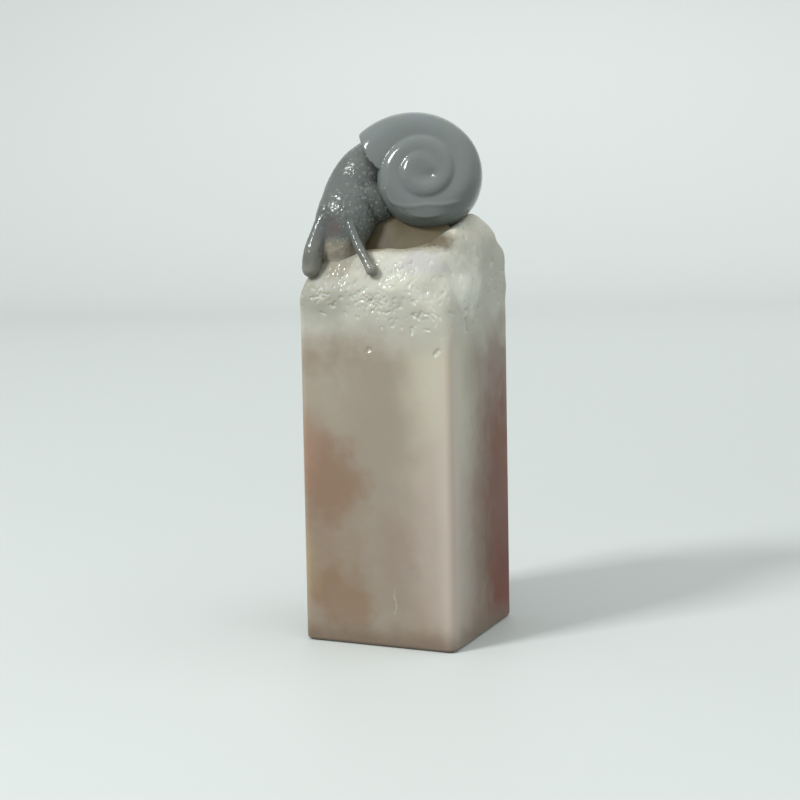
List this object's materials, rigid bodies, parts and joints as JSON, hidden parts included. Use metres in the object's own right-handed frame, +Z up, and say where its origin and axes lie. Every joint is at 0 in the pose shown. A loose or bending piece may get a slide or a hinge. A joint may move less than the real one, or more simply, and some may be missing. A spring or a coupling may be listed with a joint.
{
  "type": "seal stamp",
  "caption": "Square seal stone with a bare seal face, a rock-dressed top and a carved snail as the knob.",
  "frame": {"origin": "centre of the flat seal face at the bottom of the block", "axes": "+Z up the block to the snail, +X to the right along the broad front face, +Y from that face to the back"},
  "size_m": [0.025, 0.0254, 0.0805],
  "materials": {
    "pale_stone": "waxed satin, cloudy cream and grey with brown clouds and rust streaks, translucent at the edges",
    "brown_stone": "smooth satin olive brown, the band between the pale and the grey layers",
    "dark_grey_stone": "finely stippled dark grey with glossy specks",
    "blue_grey_stone": "polished blue grey"
  },
  "bodies": {
    "root": {"seal_block": "pale_stone", "snail_foot": "brown_stone", "snail_neck": "dark_grey_stone", "snail_shell": "blue_grey_stone", "left_eye_stalk": "dark_grey_stone", "right_eye_stalk": "dark_grey_stone"}
  },
  "joints": []
}
